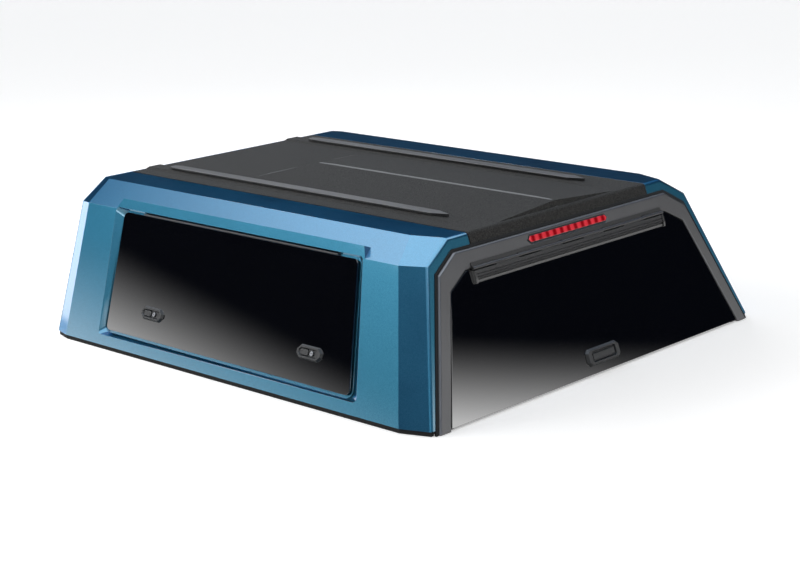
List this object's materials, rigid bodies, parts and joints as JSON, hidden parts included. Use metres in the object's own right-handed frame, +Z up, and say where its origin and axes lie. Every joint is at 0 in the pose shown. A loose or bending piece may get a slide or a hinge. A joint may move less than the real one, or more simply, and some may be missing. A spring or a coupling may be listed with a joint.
{
  "type": "truck canopy",
  "caption": "Hard pickup bed canopy with leaning painted sides, charcoal roof with load tracks, and glass rear and side doors that lift on gas struts.",
  "frame": {"origin": "centre of the canopy's footprint, at the underside of its base seal", "axes": "+Z up, +Y towards the cab, +X to the vehicle's right"},
  "size_m": [1.732, 1.814, 0.54],
  "materials": {
    "body_paint": "deep metallic blue paint under clear coat on moulded fibreglass",
    "roof_texture": "charcoal grained coating",
    "frame_coat": "satin charcoal moulding",
    "tinted_glass": "near-black privacy glass",
    "black_rail": "black anodised extrusion",
    "seal_rubber": "matt black rubber",
    "black_plastic": "black moulded plastic",
    "lamp_red": "red moulded lamp lens",
    "strut_tube": "black painted steel",
    "strut_rod": "polished hard chrome"
  },
  "bodies": {
    "root": {"side_panel_left": "body_paint", "side_panel_right": "body_paint", "roof_panel": "roof_texture", "roof_seam_left": "seal_rubber", "roof_seam_right": "seal_rubber", "roof_track_left": "black_rail", "roof_track_right": "black_rail", "front_panel": "body_paint", "front_window": "tinted_glass", "front_window_seal": "seal_rubber", "rear_frame": "frame_coat", "rear_frame_gasket": "seal_rubber", "rear_door_seal": "seal_rubber", "brake_lamp_housing": "black_plastic", "brake_lamp_lens": "lamp_red", "base_rail_left": "black_rail", "base_rail_right": "black_rail", "base_rail_front": "black_rail", "base_seal": "seal_rubber", "roof_braces": "black_rail", "rear_hinge_fixed": "black_rail", "side_hinge_fixed_left": "black_rail", "side_hinge_fixed_right": "black_rail", "side_door_seal_left": "seal_rubber", "side_door_seal_right": "seal_rubber", "strut_brackets": "strut_tube"},
    "rear_door": {"rear_glass": "tinted_glass", "rear_hinge_rail": "black_rail", "rear_handle_housing": "black_plastic", "rear_handle_paddle": "black_plastic", "rear_latch": "strut_tube", "rear_studs": "strut_tube"},
    "side_door_left": {"side_glass_left": "tinted_glass", "side_hinge_leaf_left": "black_rail", "side_locks_left": "black_plastic", "side_studs_left": "strut_tube"},
    "side_door_right": {"side_glass_right": "tinted_glass", "side_hinge_leaf_right": "black_rail", "side_locks_right": "black_plastic", "side_studs_right": "strut_tube"},
    "rear_strut_cylinder_left": {"rear_strut_cylinder_left": "strut_tube"},
    "rear_strut_rod_left": {"rear_strut_rod_left": "strut_rod"},
    "side_strut_cylinder_front_left": {"side_strut_cylinder_front_left": "strut_tube"},
    "side_strut_rod_front_left": {"side_strut_rod_front_left": "strut_rod"},
    "side_strut_cylinder_rear_left": {"side_strut_cylinder_rear_left": "strut_tube"},
    "side_strut_rod_rear_left": {"side_strut_rod_rear_left": "strut_rod"},
    "rear_strut_cylinder_right": {"rear_strut_cylinder_right": "strut_tube"},
    "rear_strut_rod_right": {"rear_strut_rod_right": "strut_rod"},
    "side_strut_cylinder_front_right": {"side_strut_cylinder_front_right": "strut_tube"},
    "side_strut_rod_front_right": {"side_strut_rod_front_right": "strut_rod"},
    "side_strut_cylinder_rear_right": {"side_strut_cylinder_rear_right": "strut_tube"},
    "side_strut_rod_rear_right": {"side_strut_rod_rear_right": "strut_rod"}
  },
  "joints": [
    {"name": "rear_door_hinge", "type": "hinge", "parent": "root", "child": "rear_door", "pos_m": [0, -0.76507, 0.4211], "axis": [-1, 0, 0], "range_deg": [0, 75]},
    {"name": "side_door_left_hinge", "type": "hinge", "parent": "root", "child": "side_door_left", "pos_m": [-0.68071, 0, 0.4464], "axis": [0, 1, 0], "range_deg": [0, 75]},
    {"name": "side_door_right_hinge", "type": "hinge", "parent": "root", "child": "side_door_right", "pos_m": [0.68071, 0, 0.4464], "axis": [0, -1, 0], "range_deg": [0, 75]},
    {"name": "rear_strut_cylinder_left_pivot", "type": "hinge", "parent": "root", "child": "rear_strut_cylinder_left", "pos_m": [-0.56, -0.76002, 0.34511], "axis": [-1, 0, 0], "range_deg": [0, 82.37]},
    {"name": "rear_strut_rod_left_slide", "type": "slide", "parent": "rear_strut_cylinder_left", "child": "rear_strut_rod_left", "axis": [0, -0.3466, -0.938], "range_m": [0, 0.0844]},
    {"name": "side_strut_cylinder_front_left_pivot", "type": "hinge", "parent": "root", "child": "side_strut_cylinder_front_left", "pos_m": [-0.67801, 0.574, 0.37029], "axis": [0, 1, 0], "range_deg": [0, 82.37]},
    {"name": "side_strut_rod_front_left_slide", "type": "slide", "parent": "side_strut_cylinder_front_left", "child": "side_strut_rod_front_left", "axis": [-0.3754, 0, -0.9269], "range_m": [0, 0.0844]},
    {"name": "side_strut_cylinder_rear_left_pivot", "type": "hinge", "parent": "root", "child": "side_strut_cylinder_rear_left", "pos_m": [-0.67801, -0.438, 0.37029], "axis": [0, 1, 0], "range_deg": [0, 82.37]},
    {"name": "side_strut_rod_rear_left_slide", "type": "slide", "parent": "side_strut_cylinder_rear_left", "child": "side_strut_rod_rear_left", "axis": [-0.3754, 0, -0.9269], "range_m": [0, 0.0844]},
    {"name": "rear_strut_cylinder_right_pivot", "type": "hinge", "parent": "root", "child": "rear_strut_cylinder_right", "pos_m": [0.56, -0.76002, 0.34511], "axis": [-1, 0, 0], "range_deg": [0, 82.37]},
    {"name": "rear_strut_rod_right_slide", "type": "slide", "parent": "rear_strut_cylinder_right", "child": "rear_strut_rod_right", "axis": [0, -0.3466, -0.938], "range_m": [0, 0.0844]},
    {"name": "side_strut_cylinder_front_right_pivot", "type": "hinge", "parent": "root", "child": "side_strut_cylinder_front_right", "pos_m": [0.67801, 0.574, 0.37029], "axis": [0, -1, 0], "range_deg": [0, 82.37]},
    {"name": "side_strut_rod_front_right_slide", "type": "slide", "parent": "side_strut_cylinder_front_right", "child": "side_strut_rod_front_right", "axis": [0.3754, 0, -0.9269], "range_m": [0, 0.0844]},
    {"name": "side_strut_cylinder_rear_right_pivot", "type": "hinge", "parent": "root", "child": "side_strut_cylinder_rear_right", "pos_m": [0.67801, -0.438, 0.37029], "axis": [0, -1, 0], "range_deg": [0, 82.37]},
    {"name": "side_strut_rod_rear_right_slide", "type": "slide", "parent": "side_strut_cylinder_rear_right", "child": "side_strut_rod_rear_right", "axis": [0.3754, 0, -0.9269], "range_m": [0, 0.0844]}
  ],
  "couplings": [
    {"joint": "rear_strut_cylinder_left_pivot", "follows": "rear_door_hinge", "ratio": 1.0982},
    {"joint": "rear_strut_rod_left_slide", "follows": "rear_door_hinge", "m_per_rad": 0.064468},
    {"joint": "side_strut_cylinder_front_left_pivot", "follows": "side_door_left_hinge", "ratio": 1.0982},
    {"joint": "side_strut_rod_front_left_slide", "follows": "side_door_left_hinge", "m_per_rad": 0.064468},
    {"joint": "side_strut_cylinder_rear_left_pivot", "follows": "side_door_left_hinge", "ratio": 1.0982},
    {"joint": "side_strut_rod_rear_left_slide", "follows": "side_door_left_hinge", "m_per_rad": 0.064468},
    {"joint": "rear_strut_cylinder_right_pivot", "follows": "rear_door_hinge", "ratio": 1.0982},
    {"joint": "rear_strut_rod_right_slide", "follows": "rear_door_hinge", "m_per_rad": 0.064468},
    {"joint": "side_strut_cylinder_front_right_pivot", "follows": "side_door_right_hinge", "ratio": 1.0982},
    {"joint": "side_strut_rod_front_right_slide", "follows": "side_door_right_hinge", "m_per_rad": 0.064468},
    {"joint": "side_strut_cylinder_rear_right_pivot", "follows": "side_door_right_hinge", "ratio": 1.0982},
    {"joint": "side_strut_rod_rear_right_slide", "follows": "side_door_right_hinge", "m_per_rad": 0.064468}
  ]
}
